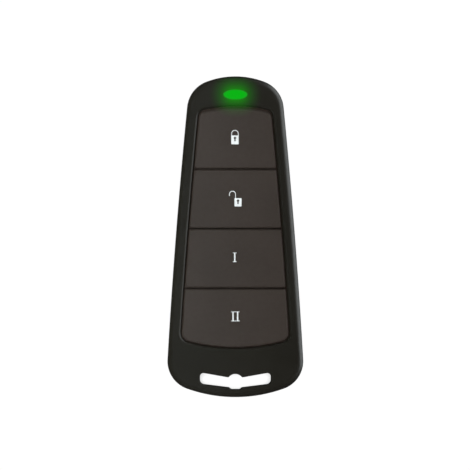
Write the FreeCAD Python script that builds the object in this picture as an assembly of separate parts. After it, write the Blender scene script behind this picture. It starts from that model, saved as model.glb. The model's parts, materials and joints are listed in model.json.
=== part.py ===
import FreeCAD
import Part
import math
import os
from collections import namedtuple

# Four-button radio key fob, lying on its back. Millimetres.
# +Z is the key side, +Y the lamp end, -Y the key-ring slot end and +X the right side.
# The origin is the middle of the fob's footprint, on the back face.

# Keys along the fob, measured between the middles of the gaps round them
first_key_length = 15.07
middle_key_length = 14.49
last_key_length = 14.45
key_gap = 0.15
top_gap = 0.42

# Case outline, seen from the front
top_margin = 7.46
bottom_margin = 12.04
dome_radius = 19.77
top_corner_radius = 7.32
bottom_radius = 34.87
bottom_corner_radius = 7.09
side_radius = 1542.0
width_station = 9.0
upper_width = 23.76
lower_width = 33.02

# Key window, along the middle of the gap round the keys
window_inset = 3.02
window_top_radius = 33.0
window_top_corner = 2.0
window_bottom_radius = 45.4
window_bottom_corner = 2.3

# Walls and edges of the case
wall = 1.4
floor = 1.4
face_thickness = 2.1
crown_across = 160.0
crown_along = 700.0
front_edge_radius = 1.5
back_edge_radius = 2.2
window_lip = 0.85
seam_chamfer = 0.15
lip_thickness = 0.6
lip_height = 0.9
lip_clearance = 0.05

# Key-ring slot: a shallow V of even bands with a round opening at its middle
slot_half_length = 8.6
slot_end_top = 6.03
slot_end_bottom = 3.21
slot_middle_top = 4.50
slot_middle_bottom = 2.14
slot_round_radius = 2.0
slot_round_height = 3.65
slot_round_flat = 1.9
slot_upper_corner = 0.85
slot_lower_corner = 1.1
slot_neck_radius = 0.4
slot_edge_radius = 0.3
slot_wall = 2.0

# Lamp window and the light source under it
lamp_from_top = 4.43
lamp_length = 5.75
lamp_width = 2.36
lamp_clearance = 0.04
lamp_flange = 0.5
lamp_flange_thickness = 0.6
lamp_gap = 0.3
led_size = (3.2, 1.6, 1.1)

# Key caps
key_travel = 0.3
key_recess = 0.2
key_edge_radius = 0.55
end_roll_length = 0.80
end_roll_drop = 0.62
end_roll_lean = 8.5
key_corner_radius = 0.62
seam_roll_radius = 0.2
seam_flank_tilt = 60.0
seam_flank_above = 0.25
seam_flank_below = 0.33
key_wall = 1.0
key_roof = 1.7
flange_clearance = 0.1
flange_thickness = 0.6
flange_side_gap = 0.35
flange_end = 0.5
stem_radius = 1.6
rib_thickness = 0.8
rib_lift = 0.2

# Marks on the keys, let into the caps
legend_depth = 0.35
legend_stroke = 0.19
lock_body = (1.84, 2.19)
lock_shackle_radius = 0.91
lock_leg = 0.41
open_body = (1.75, 2.04)
open_body_shift = 0.64
open_shackle_shift = -0.70
open_shackle_radius = 0.84
open_leg = 0.93
open_free_leg = 0.43
keyhole_radius = 0.28
keyhole_slit = 0.27
keyhole_drop = 0.62
keyhole_depth = 0.80
lock_corner = 0.22
numeral_one_height = 2.31
numeral_two_height = 2.37
numeral_stem = 0.35
numeral_serif = 0.16
numeral_one_width = 0.95
numeral_two_width = 2.10
numeral_two_pitch = 1.13
lock_mark_drop = 7.34
unlock_mark_drop = 7.215
one_mark_drop = 6.97
two_mark_drop = 6.84
lock_mark_shift = -0.10
one_mark_shift = -0.15

# Circuit board and what it carries
board_thickness = 1.0
board_gap = 0.4
board_top_gap = 2.6
board_corner = 1.6
switch_size = 5.2
switch_height = 1.6
cover_thickness = 0.15
cover_hole_radius = 1.4
cover_skirt = 0.9
switch_well_radius = 1.9
switch_well_floor = 0.35
plunger_radius = 1.1
plunger_rise = 0.4
plunger_flange_radius = 1.6
plunger_flange_thickness = 0.45
dome_disc_radius = 1.7
dome_disc_height = 0.4
dome_disc_thickness = 0.08
dome_disc_gap = 0.04
chip_x = 7.0
controller_size = (4.9, 3.9, 1.45)
controller_pins = 4
radio_size = (3.0, 3.0, 0.9)
radio_pins = 3
chip_stand = 0.1
chip_lead = 1.0
chip_lead_thickness = 0.25
chip_lead_share = 0.33
crystal_size = (5.0, 3.2, 1.0)
chip_part_size = (1.6, 0.8, 0.5)
chip_part_pitch = 1.6
chip_part_count = 6
antenna_inset = 0.25
antenna_width = 0.5
antenna_thickness = 0.08
antenna_corner = 3.5
antenna_gap = 3.0

# Battery and its contacts
cell_radius = 10.0
cell_height = 3.2
cell_from_cavity_end = 7.0
cell_step_radius = 8.9
cell_step_height = 0.35
clip_thickness = 0.3
clip_width = 5.0
clip_floor_gap = 0.2
clip_side_gap = 0.4
clip_foot = 1.5
contact_height = 0.4
contact_radius = 4.5
contact_plate = 0.15
contact_dimple_radius = 0.7
contact_dimple_circle = 2.6
contact_dimple_count = 3
cell_ring_gap = 0.3
cell_ring_wall = 1.0
cell_ring_drop = 0.5

# Screws and the supports moulded into the shells
screw_spread = 11.6
screw_from_end = 8.4
screw_shank_radius = 1.0
screw_pilot_radius = 0.88
screw_hole_radius = 1.2
screw_length = 6.0
screw_tip = 0.8
screw_tip_radius = 0.33
screw_head_radius = 1.8
screw_head_height = 1.3
screw_head_sink = 0.6
screw_recess_gap = 0.3
cross_width = 0.5
cross_length = 2.0
cross_depth = 0.8
boss_wall = 1.2
recess_wall = 0.6
pilot_spare = 0.5
post_radius = 1.3
post_inset = 5.0
post_from_board_end = 2.5
peg_radius = 0.7
peg_clearance = 0.15
peg_rise = 0.7
clamp_length = 3.0
clamp_reach = 0.8
clamp_drop = 0.4
bar_width = 1.6
bar_height = 0.8
hook_width = 6.0
hook_thickness = 0.9
hook_gap = 0.1
hook_nib = 0.35
hook_nib_height = 0.6
hook_rise = 2.1
hook_clearance = 0.1
panel_width = 19.0
panel_length = 40.0
panel_depth = 0.2
panel_corner = 3.0
panel_shift = 4.0

# Heights, stacked up from the back face
clip_z = floor + clip_floor_gap
cell_z = clip_z + clip_thickness
board_z = cell_z + cell_height + contact_height
board_top = board_z + board_thickness
parting_z = board_z - seam_chamfer
switch_top = board_top + switch_height
plunger_top = switch_top + plunger_rise
key_bottom = plunger_top + rib_lift + key_travel
flange_top = key_bottom + flange_thickness
ceiling_z = flange_top + flange_clearance
case_height = ceiling_z + face_thickness

# Places along the fob
body_length = top_margin + first_key_length + 2 * middle_key_length + last_key_length + bottom_margin
top_y = body_length / 2
bottom_y = -body_length / 2
window_top_y = top_y - top_margin
window_bottom_y = bottom_y + bottom_margin
seam_one_y = window_top_y - first_key_length
seam_two_y = seam_one_y - middle_key_length
seam_three_y = seam_two_y - middle_key_length
lamp_y = top_y - lamp_from_top
slot_top_y = bottom_y + slot_end_top
cavity_bottom_y = slot_top_y + slot_wall
screw_y = bottom_y + screw_from_end
front_boss_radius = screw_shank_radius + boss_wall
recess_radius = screw_head_radius + screw_recess_gap
back_boss_radius = recess_radius + recess_wall
board_bottom_y = screw_y + max(front_boss_radius, back_boss_radius) + board_gap
cell_y = cavity_bottom_y + cell_from_cavity_end + cell_radius
hook_inner_y = top_y - wall - hook_gap - hook_thickness
chip_high_y = (seam_two_y + seam_three_y) / 2
chip_low_y = (seam_three_y + window_bottom_y) / 2

# How far a form runs into the one that it is joined to, how far picks and cuts reach past an edge,
# and how near two places are taken as the same
bite = 0.1
reach_past = 0.6
overrun = 1.0
above_all = case_height + overrun
below_all = -overrun
touch = 0.01

Profile = namedtuple("Profile", "inset top_y top_radius top_corner bottom_y bottom_radius bottom_corner")


def vec(x, y, z=0.0):
    return FreeCAD.Vector(x, y, z)


def side_arc_centre():
    """Centre of the right side's arc, which passes through the two stated widths."""
    x_high = upper_width / 2
    y_high = top_y - width_station
    x_low = lower_width / 2
    y_low = bottom_y + width_station
    chord = math.hypot(x_high - x_low, y_high - y_low)
    reach = math.sqrt(side_radius ** 2 - (chord / 2) ** 2)
    x = (x_high + x_low) / 2 - reach * (y_high - y_low) / chord
    y = (y_high + y_low) / 2 + reach * (x_high - x_low) / chord
    return vec(x, y)


side_centre = side_arc_centre()


def half_width(y, inset=0.0):
    """Half the width of the case at y, drawn in by inset."""
    radius = side_radius - inset
    return side_centre.x + math.sqrt(radius ** 2 - (y - side_centre.y) ** 2)


def right_meeting(centre_a, radius_a, centre_b, radius_b, upper):
    """The meeting point of two circles on the right of the fob, the upper or the lower of the two."""
    span = centre_b - centre_a
    gap = span.Length
    along = (gap ** 2 + radius_a ** 2 - radius_b ** 2) / (2 * gap)
    off = math.sqrt(radius_a ** 2 - along ** 2)
    unit = span / gap
    foot = centre_a + unit * along
    across = vec(-unit.y, unit.x) * off
    pair = [foot + across, foot - across]
    pair.sort(key=lambda point: point.y)
    return pair[1] if upper else pair[0]


def out_from(centre, through, radius):
    """The point at radius from centre, on the ray through a second point."""
    ray = through - centre
    return centre + ray * (radius / ray.Length)


def arc(start, middle, end):
    return Part.Arc(start, middle, end).toShape()


def bulge(centre, start, end, radius):
    """The middle point of the arc about centre from start to end."""
    return out_from(centre, (start + end) / 2, radius)


def mirrored(point):
    return vec(-point.x, point.y, point.z)


def profile_wire(shape):
    """Closed outline: arcs across the top and the bottom, the case's side arcs, and rounded corners."""
    top_centre = vec(0, shape.top_y - shape.top_radius)
    bottom_centre = vec(0, shape.bottom_y + shape.bottom_radius)
    side = side_radius - shape.inset
    corner_t = right_meeting(top_centre, shape.top_radius - shape.top_corner,
                             side_centre, side - shape.top_corner, True)
    corner_b = right_meeting(bottom_centre, shape.bottom_radius - shape.bottom_corner,
                             side_centre, side - shape.bottom_corner, False)
    a = out_from(top_centre, corner_t, shape.top_radius)
    b = out_from(side_centre, corner_t, side)
    c = out_from(side_centre, corner_b, side)
    d = out_from(bottom_centre, corner_b, shape.bottom_radius)
    ab = bulge(corner_t, a, b, shape.top_corner)
    bc = bulge(side_centre, b, c, side)
    cd = bulge(corner_b, c, d, shape.bottom_corner)
    edges = [
        arc(mirrored(a), vec(0, shape.top_y), a),
        arc(a, ab, b),
        arc(b, bc, c),
        arc(c, cd, d),
        arc(d, vec(0, shape.bottom_y), mirrored(d)),
        arc(mirrored(d), mirrored(cd), mirrored(c)),
        arc(mirrored(c), mirrored(bc), mirrored(b)),
        arc(mirrored(b), mirrored(ab), mirrored(a)),
    ]
    return Part.Wire(edges)


def shrink(shape, by):
    """The same outline drawn in on every side."""
    return Profile(shape.inset + by, shape.top_y - by, shape.top_radius - by, shape.top_corner - by,
                   shape.bottom_y + by, shape.bottom_radius - by, shape.bottom_corner - by)


def raise_wire(wire, z_low, z_high):
    """Prism on a flat wire between two heights."""
    face = Part.Face(wire)
    face.translate(vec(0, 0, z_low))
    return face.extrude(vec(0, 0, z_high - z_low))


def prism(shape, z_low, z_high):
    return raise_wire(profile_wire(shape), z_low, z_high)


def box(x_low, x_high, y_low, y_high, z_low, z_high):
    return Part.makeBox(x_high - x_low, y_high - y_low, z_high - z_low, vec(x_low, y_low, z_low))


def centred_box(x, y, size, z_low):
    return box(x - size[0] / 2, x + size[0] / 2, y - size[1] / 2, y + size[1] / 2, z_low, z_low + size[2])


def rod(radius, x, y, z_low, z_high):
    return Part.makeCylinder(radius, z_high - z_low, vec(x, y, z_low))


def ellipse_rod(length, width, y, z_low, z_high):
    """Upright rod of elliptical section, its long axis across the fob."""
    edge = Part.Ellipse(vec(0, y), length / 2, width / 2).toShape()
    return raise_wire(Part.Wire([edge]), z_low, z_high)


def crown_block(lift):
    """Everything below the gently domed front, raised by lift: an arc across the fob, turned about X."""
    crest = case_height + lift
    reach = lower_width
    drop = crown_across - math.sqrt(crown_across ** 2 - reach ** 2)
    left = vec(-reach, 0, crest - drop)
    right = vec(reach, 0, crest - drop)
    corners = [right, vec(reach, 0, -reach), vec(-reach, 0, -reach), left]
    section = Part.Wire([arc(left, vec(0, 0, crest), right)] + Part.makePolygon(corners).Edges)
    axle = vec(0, 0, crest - crown_along)
    turn = math.degrees(math.asin(body_length / crown_along))
    face = Part.Face(section)
    face.rotate(axle, vec(1, 0, 0), -turn)
    return face.revolve(axle, vec(1, 0, 0), 2 * turn)


def crown_height(y, lift=0.0):
    """Height of the domed surface on the centre line."""
    return case_height + lift - crown_along + math.sqrt(crown_along ** 2 - y ** 2)


def is_upright(edge):
    return edge.BoundBox.XLength < touch and edge.BoundBox.YLength < touch


def is_crown(face):
    return isinstance(face.Surface, Part.Toroid)


def edges_on_crown(solid, accept):
    """Edges of the domed face whose middle the test accepts."""
    picked = []
    for face in solid.Faces:
        if not is_crown(face):
            continue
        for edge in face.Edges:
            if accept(edge.CenterOfMass):
                picked.append(edge)
    return picked


case_outline = Profile(0.0, top_y, dome_radius, top_corner_radius,
                       bottom_y, bottom_radius, bottom_corner_radius)
window_middle = Profile(window_inset, window_top_y, window_top_radius, window_top_corner,
                        window_bottom_y, window_bottom_radius, window_bottom_corner)
window_outline = shrink(window_middle, -key_gap / 2)._replace(top_y=window_top_y + top_gap / 2)
key_outline = shrink(window_middle, key_gap / 2)._replace(top_y=window_top_y - top_gap / 2)
cavity_outline = Profile(wall, top_y - wall, dome_radius - wall, top_corner_radius - wall,
                         cavity_bottom_y, window_bottom_radius, window_bottom_corner)
board_outline = Profile(wall + board_gap, top_y - board_top_gap, dome_radius - board_top_gap,
                        top_corner_radius - board_top_gap, board_bottom_y, window_bottom_radius, board_corner)
flange_outline = key_outline._replace(inset=wall + flange_side_gap, top_y=window_outline.top_y + flange_end,
                                      bottom_y=window_outline.bottom_y - flange_end)


def slot_tool():
    """The slot's through-cut: a rounded V band with a flat-bottomed round opening at its middle."""
    end_top = bottom_y + slot_end_top
    end_bottom = bottom_y + slot_end_bottom
    corners = [
        vec(-slot_half_length, end_top),
        vec(0, bottom_y + slot_middle_top),
        vec(slot_half_length, end_top),
        vec(slot_half_length, end_bottom),
        vec(0, bottom_y + slot_middle_bottom),
        vec(-slot_half_length, end_bottom),
    ]
    band = raise_wire(Part.makePolygon(corners + [corners[0]]), below_all, above_all)
    round_y = bottom_y + slot_round_height
    opening = rod(slot_round_radius, 0, round_y, below_all, above_all)
    keep = box(-slot_half_length, slot_half_length, bottom_y + slot_round_flat, top_y, below_all, above_all)
    tool = band.fuse(opening.common(keep)).removeSplitter()
    uppers = [edge for edge in tool.Edges if near(edge, slot_half_length, end_top)]
    tool = tool.makeFillet(slot_upper_corner, uppers)
    lowers = [edge for edge in tool.Edges if near(edge, slot_half_length, end_bottom)]
    tool = tool.makeFillet(slot_lower_corner, lowers)
    necks = []
    for edge in tool.Edges:
        middle = edge.CenterOfMass
        at_round = abs(math.hypot(middle.x, middle.y - round_y) - slot_round_radius) < touch
        above_flat = middle.y > bottom_y + slot_round_flat + touch
        if is_upright(edge) and at_round and above_flat and abs(middle.x) < slot_round_radius - touch:
            necks.append(edge)
    return tool.makeFillet(slot_neck_radius, necks)


def near(edge, x, y):
    """True for an upright edge at plus or minus x and y."""
    middle = edge.CenterOfMass
    return is_upright(edge) and abs(abs(middle.x) - x) < touch and abs(middle.y - y) < touch


def in_slot(point):
    """True on the slot's rim, and not on the case's edge below it."""
    low = bottom_y + slot_round_flat - slot_edge_radius
    return low < point.y < slot_top_y + reach_past and abs(point.x) < slot_half_length + reach_past


def in_window(point):
    """True on the key window's rim."""
    inside_side = abs(point.x) < half_width(point.y, window_inset - reach_past)
    return inside_side and window_bottom_y - reach_past < point.y < window_top_y + reach_past


def clamp_rib(side, y, z_low, z_high):
    """Short rib on the inner wall, which holds the board down."""
    x_wall = half_width(y, wall / 2)
    x_tip = half_width(y, wall + board_gap + clamp_reach)
    x_low, x_high = sorted((side * x_wall, side * x_tip))
    return box(x_low, x_high, y - clamp_length / 2, y + clamp_length / 2, z_low, z_high)


seam_places = [seam_one_y, seam_two_y, seam_three_y]
clamp_places = [seam_one_y, seam_three_y]


def cross_bar(y, z_high):
    """Bar from wall to wall under a seam, which keeps dust from falling through to the board."""
    half = half_width(y, wall / 2)
    return box(-half, half, y - bar_width / 2, y + bar_width / 2, z_high - bar_height, z_high)


def make_front_case(slot):
    """Upper shell: domed face, key window, bars under the seams, lamp opening, slot and screw bosses."""
    shell = prism(case_outline, parting_z, above_all).common(crown_block(0))
    shell = shell.makeFillet(front_edge_radius, edges_on_crown(shell, lambda point: True))
    rim = [edge for edge in shell.Edges if abs(edge.BoundBox.ZMax - parting_z) < touch]
    shell = shell.makeChamfer(seam_chamfer, rim)
    shell = shell.cut(slot)
    shell = shell.makeFillet(slot_edge_radius, edges_on_crown(shell, in_slot))
    shell = shell.cut(prism(window_outline, parting_z, above_all))
    shell = shell.makeFillet(window_lip, edges_on_crown(shell, in_window))
    shell = shell.cut(ellipse_rod(lamp_length + 2 * lamp_clearance, lamp_width + 2 * lamp_clearance, lamp_y,
                                  parting_z, above_all))
    shell = shell.cut(prism(cavity_outline, below_all, ceiling_z))
    rebate = prism(shrink(cavity_outline, -lip_thickness - lip_clearance), below_all,
                   parting_z + lip_height + lip_clearance)
    shell = shell.cut(rebate)
    rib_top = key_bottom - key_travel - clamp_drop
    for side in (-1, 1):
        boss = rod(front_boss_radius, side * screw_spread, screw_y, parting_z, ceiling_z + bite)
        shell = shell.fuse(boss)
        for y in clamp_places:
            shell = shell.fuse(clamp_rib(side, y, board_top, rib_top))
    for y in seam_places:
        shell = shell.fuse(cross_bar(y, rib_top))
    for side in (-1, 1):
        pilot = rod(screw_pilot_radius, side * screw_spread, screw_y, below_all,
                    head_seat_z() + screw_length + pilot_spare)
        shell = shell.cut(pilot)
    shell = shell.cut(hook_nib_block(hook_clearance))
    return shell.removeSplitter()


def hook_nib_block(spare):
    """The hook's nib, which catches in the front case's wall, grown by spare to make its pocket."""
    half = hook_width / 2 + spare
    high = board_top + hook_rise
    block = box(-half, half, hook_inner_y, top_y, high - hook_nib_height - spare, high + spare)
    return block.common(prism(shrink(cavity_outline, -hook_nib - spare), 0, above_all))


def head_seat_z():
    """Height at which the screws' heads seat in the back case."""
    return screw_head_sink + screw_head_height


def make_back_case(slot):
    """Lower shell: tray with the cell's ring, board posts, screw bosses, joint lip and a hook."""
    tray = prism(case_outline, 0, parting_z)
    base = [edge for edge in tray.Edges if edge.BoundBox.ZMax < touch]
    tray = tray.makeFillet(back_edge_radius, base)
    rim = [edge for edge in tray.Edges if abs(edge.BoundBox.ZMin - parting_z) < touch]
    tray = tray.makeChamfer(seam_chamfer, rim)
    tray = tray.cut(slot)
    base = [edge for edge in tray.Edges if edge.BoundBox.ZMax < touch]
    tray = tray.makeFillet(slot_edge_radius, [edge for edge in base if in_slot(edge.CenterOfMass)])
    tray = tray.cut(prism(cavity_outline, floor, above_all))
    lip = prism(shrink(cavity_outline, -lip_thickness), parting_z - bite, parting_z + lip_height)
    lip = lip.cut(prism(cavity_outline, below_all, above_all))
    for side in (-1, 1):
        boss_room = front_boss_radius + lip_clearance
        lip = lip.cut(rod(boss_room, side * screw_spread, screw_y, parting_z, above_all))
    tray = tray.fuse(lip)
    for side in (-1, 1):
        tray = tray.fuse(rod(back_boss_radius, side * screw_spread, screw_y, floor / 2, parting_z))
        peg_x, peg_y = peg_place(side)
        tray = tray.fuse(rod(post_radius, peg_x, peg_y, floor / 2, board_z))
        tray = tray.fuse(rod(peg_radius, peg_x, peg_y, board_z - bite, board_top + peg_rise))
        post_y = board_bottom_y + post_from_board_end
        post_x = side * (half_width(post_y, board_outline.inset) - post_radius)
        tray = tray.fuse(rod(post_radius, post_x, post_y, floor / 2, board_z))
    ring_top = cell_z + cell_height - cell_ring_drop
    ring_inner = cell_radius + cell_ring_gap
    ring = rod(ring_inner + cell_ring_wall, 0, cell_y, floor / 2, ring_top)
    ring = ring.cut(rod(ring_inner, 0, cell_y, floor / 2, ring_top))
    notch = box(-lower_width, lower_width, cell_y - clip_width / 2 - cell_ring_gap,
                cell_y + clip_width / 2 + cell_ring_gap, floor, above_all)
    tray = tray.fuse(ring.cut(notch))
    hook = box(-hook_width / 2, hook_width / 2, hook_inner_y, top_y, floor / 2, board_top + hook_rise)
    hook = hook.common(prism(shrink(cavity_outline, hook_gap), 0, above_all))
    tray = tray.fuse(hook).fuse(hook_nib_block(0))
    for side in (-1, 1):
        tray = tray.cut(rod(recess_radius, side * screw_spread, screw_y, below_all, head_seat_z()))
        tray = tray.cut(rod(screw_hole_radius, side * screw_spread, screw_y, 0, above_all))
    panel = box(-panel_width / 2, panel_width / 2, panel_shift - panel_length / 2,
                panel_shift + panel_length / 2, below_all, panel_depth)
    uprights = [edge for edge in panel.Edges if is_upright(edge)]
    tray = tray.cut(panel.makeFillet(panel_corner, uprights))
    return tray.removeSplitter()


def peg_place(side):
    """Where a locating peg passes through the board."""
    y = seam_one_y + middle_key_length / 2
    return side * (half_width(y) - post_inset), y


def padlock_body(size, x, y_top):
    """Rounded block with a keyhole, its top edge at y_top."""
    width, height = size
    block = box(x - width / 2, x + width / 2, y_top - height, y_top, 0, above_all)
    lower = [edge for edge in block.Edges if is_upright(edge) and edge.CenterOfMass.y < y_top - touch]
    block = block.makeFillet(lock_corner, lower)
    hole_y = y_top - keyhole_drop
    hole = rod(keyhole_radius, x, hole_y, 0, above_all)
    slit = box(x - keyhole_slit / 2, x + keyhole_slit / 2, hole_y - keyhole_depth, hole_y, 0, above_all)
    return block.cut(hole.fuse(slit))


def shackle(radius, x, foot_y, right_leg, left_leg):
    """Round arch with two legs: foot_y is where the right leg meets the block."""
    centre_y = foot_y + right_leg
    hoop = rod(radius, x, centre_y, 0, above_all).cut(rod(radius - legend_stroke, x, centre_y, 0, above_all))
    hoop = hoop.common(box(x - radius, x + radius, centre_y, centre_y + radius, 0, above_all))
    right = box(x + radius - legend_stroke, x + radius, centre_y - right_leg, centre_y, 0, above_all)
    left = box(x - radius, x - radius + legend_stroke, centre_y - left_leg, centre_y, 0, above_all)
    return hoop.fuse(right).fuse(left)


def numeral(width, height, stems, x_middle, y):
    """Upright strokes between two serif bars, centred at x_middle and y."""
    low = y - height / 2
    high = y + height / 2
    left = x_middle - width / 2
    right = x_middle + width / 2
    mark = box(left, right, low, low + numeral_serif, 0, above_all)
    mark = mark.fuse(box(left, right, high - numeral_serif, high, 0, above_all))
    for stem in stems:
        x = x_middle + stem
        mark = mark.fuse(box(x - numeral_stem / 2, x + numeral_stem / 2, low, high, 0, above_all))
    return mark


def lock_mark(y):
    """Closed padlock centred at y."""
    total = lock_body[1] + lock_leg + lock_shackle_radius
    join_y = y - total / 2 + lock_body[1]
    hoop = shackle(lock_shackle_radius, lock_mark_shift, join_y, lock_leg, lock_leg)
    return padlock_body(lock_body, lock_mark_shift, join_y).fuse(hoop)


def unlock_mark(y):
    """Open padlock centred at y: the shackle stands to the left, joined to the block by one leg."""
    total = open_body[1] + open_leg + open_shackle_radius
    join_y = y - total / 2 + open_body[1]
    hoop = shackle(open_shackle_radius, open_shackle_shift, join_y, open_leg, open_free_leg)
    return padlock_body(open_body, open_body_shift, join_y).fuse(hoop)


def one_mark(y):
    return numeral(numeral_one_width, numeral_one_height, [0], one_mark_shift, y)


def two_mark(y):
    stems = [-numeral_two_pitch / 2, numeral_two_pitch / 2]
    return numeral(numeral_two_width, numeral_two_height, stems, 0, y)


def key_slab(y_low, y_high):
    """The stretch of the key field that one key takes: half a gap short of each seam, past the far ends."""
    low = y_low + key_gap / 2 if y_low > window_bottom_y else flange_outline.bottom_y
    high = y_high - key_gap / 2 if y_high < window_top_y else flange_outline.top_y
    return low, high


def end_roll():
    """What the first key's upper end loses: a soft arc down from the dome, swept along the key's edge."""
    edge_y = key_outline.top_y
    start_y = edge_y - end_roll_length
    start = vec(0, start_y, crown_height(start_y, -key_recess) + touch)
    end = vec(0, edge_y, start.z - end_roll_drop)
    slope = math.asin(start_y / crown_along)
    normal = vec(0, math.sin(slope), math.cos(slope))
    chord = end - start
    radius = -chord.dot(chord) / (2 * chord.dot(normal))
    centre = start - normal * radius
    past = out_from(centre, end + chord * bite, radius)
    corners = [past, vec(0, past.y, above_all), vec(0, start_y, above_all), start]
    section = [arc(start, bulge(centre, start, past, radius), past)] + Part.makePolygon(corners).Edges
    lean = math.radians(end_roll_lean)
    sweep = key_outline.top_radius * math.cos(lean)
    axle = end - vec(0, sweep * math.cos(lean), sweep * math.sin(lean))
    axis = vec(0, -math.sin(lean), math.cos(lean))
    turn = math.degrees(math.asin(upper_width / 2 / sweep))
    face = Part.Face(Part.Wire(section))
    face.rotate(axle, axis, -turn)
    return face.revolve(axle, axis, 2 * turn)


def seam_roll(edge_y, outward, flank):
    """What a key's end loses at a seam: a small roll and a steep flank, swept along the domed top."""
    tilt = math.radians(seam_flank_tilt)
    start_y = edge_y - outward * (flank + seam_roll_radius * math.sin(tilt))
    start_z = crown_height(start_y, -key_recess) + touch
    centre = vec(0, start_y, start_z - seam_roll_radius)
    start = vec(0, start_y, start_z)
    end = centre + vec(0, outward * math.sin(tilt), math.cos(tilt)) * seam_roll_radius
    past = end + vec(0, outward * math.cos(tilt), -math.sin(tilt)) * ((flank + bite) / math.cos(tilt))
    corners = [past, vec(0, past.y, above_all), vec(0, start_y, above_all), start]
    section = [arc(start, bulge(centre, start, end, seam_roll_radius), end)]
    section += Part.makePolygon([end] + corners).Edges
    axle = vec(0, 0, start_z - crown_across)
    turn = math.degrees(math.asin(lower_width / 2 / crown_across))
    face = Part.Face(Part.Wire(section))
    face.rotate(axle, vec(0, 1, 0), -turn)
    return face.revolve(axle, vec(0, 1, 0), 2 * turn)


def key_cap(y_low, y_high):
    """Outside of a key cap: rounded corners at the seams, domed top, rounded top edge, soft ends."""
    low, high = key_slab(y_low, y_high)
    slab = box(-lower_width, lower_width, low, high, below_all, above_all)
    cap = prism(key_outline, key_bottom, above_all).common(slab)
    corners = []
    for edge in cap.Edges:
        y = edge.CenterOfMass.y
        if is_upright(edge) and min(abs(y - low), abs(y - high)) < touch:
            corners.append(edge)
    cap = cap.makeFillet(key_corner_radius, corners)
    cap = cap.common(crown_block(-key_recess))
    cap = cap.makeFillet(key_edge_radius, edges_on_crown(cap, lambda point: True))
    if y_low > window_bottom_y:
        cap = cap.cut(seam_roll(low, -1, seam_flank_above))
    if y_high < window_top_y:
        return cap.cut(seam_roll(high, 1, seam_flank_below))
    return cap.cut(end_roll())


def make_key(y_low, y_high, mark, mark_y):
    """Key cap with its flanges, stem and ribs, and the mark that is let into it."""
    low, high = key_slab(y_low, y_high)
    slab = box(-lower_width, lower_width, low, high, below_all, above_all)
    cap = key_cap(y_low, y_high).fuse(prism(flange_outline, key_bottom, flange_top).common(slab))
    roof_z = crown_height(max(abs(y_low), abs(y_high)), -key_recess) - key_roof
    core = box(-lower_width, lower_width, low + key_wall, high - key_wall, below_all, above_all)
    cap = cap.cut(prism(shrink(key_outline, key_wall), 0, roof_z).common(core))
    stem_y = (y_low + y_high) / 2
    ribs = box(-lower_width, lower_width, stem_y - rib_thickness / 2, stem_y + rib_thickness / 2,
               key_bottom, roof_z + bite)
    ribs = ribs.fuse(box(-rib_thickness / 2, rib_thickness / 2, low + key_wall / 2, high - key_wall / 2,
                         key_bottom, roof_z + bite))
    ribs = ribs.common(prism(shrink(key_outline, key_wall / 2), key_bottom, above_all))
    stem = rod(stem_radius, 0, stem_y, plunger_top, roof_z + bite)
    cap = cap.fuse(ribs).fuse(stem)
    mark_floor = crown_height(mark_y, -key_recess) - legend_depth
    tool = mark(mark_y).common(box(-lower_width, lower_width, y_low, y_high, mark_floor, above_all))
    legend = tool.common(crown_block(-key_recess))
    return cap.cut(tool).removeSplitter(), legend.removeSplitter()


def make_lamp_window():
    """Light pipe: elliptical window with a flange under the face, reaching down to the light source."""
    low = board_top + led_size[2] + lamp_gap
    pipe = ellipse_rod(lamp_length, lamp_width, lamp_y, low, above_all).common(crown_block(0))
    flange = ellipse_rod(lamp_length + 2 * lamp_flange, lamp_width + 2 * lamp_flange, lamp_y,
                         ceiling_z - lamp_flange_thickness, ceiling_z)
    return pipe.fuse(flange).removeSplitter()


def make_board():
    board = prism(board_outline, board_z, board_top)
    for side in (-1, 1):
        x, y = peg_place(side)
        board = board.cut(rod(peg_radius + peg_clearance, x, y, below_all, above_all))
    return board


def make_switch(y):
    """Housing, cover, plunger and snap dome of one push switch, centred at y."""
    half = switch_size / 2
    cover_z = switch_top - cover_thickness
    housing = box(-half + cover_thickness, half - cover_thickness, y - half, y + half, board_top, cover_z)
    well_floor = board_top + switch_well_floor
    housing = housing.cut(rod(switch_well_radius, 0, y, well_floor, above_all))
    cover = box(-half, half, y - half, y + half, cover_z, switch_top)
    cover = cover.cut(rod(cover_hole_radius, 0, y, below_all, above_all))
    for side in (-1, 1):
        x_low, x_high = sorted((side * half, side * (half - cover_thickness)))
        cover = cover.fuse(box(x_low, x_high, y - half, y + half, cover_z - cover_skirt, cover_z))
    dome_top = well_floor + dome_disc_height
    flange_z = dome_top + dome_disc_gap
    plunger = rod(plunger_flange_radius, 0, y, flange_z, flange_z + plunger_flange_thickness)
    plunger = plunger.fuse(rod(plunger_radius, 0, y, flange_z, plunger_top))
    return housing, cover.removeSplitter(), plunger.removeSplitter(), make_dome(y, well_floor)


def make_dome(y, z):
    """Thin sprung disc, curved like a shallow bowl upside down, standing at height z."""
    outer = (dome_disc_radius ** 2 + dome_disc_height ** 2) / (2 * dome_disc_height)
    centre_z = z + dome_disc_height - outer
    ball = Part.makeSphere(outer, vec(0, y, centre_z))
    hollow = Part.makeSphere(outer - dome_disc_thickness, vec(0, y, centre_z))
    above = rod(outer, 0, y, z, z + outer)
    return ball.cut(hollow).common(above)


def make_cell():
    """Coin cell: wide positive can below, smaller negative cap above."""
    body_top = cell_z + cell_height - cell_step_height
    can = rod(cell_radius, 0, cell_y, cell_z, body_top)
    edges = [edge for edge in can.Edges if isinstance(edge.Curve, Part.Circle)]
    can = can.makeFillet(cell_step_height, edges)
    return can.fuse(rod(cell_step_radius, 0, cell_y, body_top - bite, cell_z + cell_height)).removeSplitter()


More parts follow.
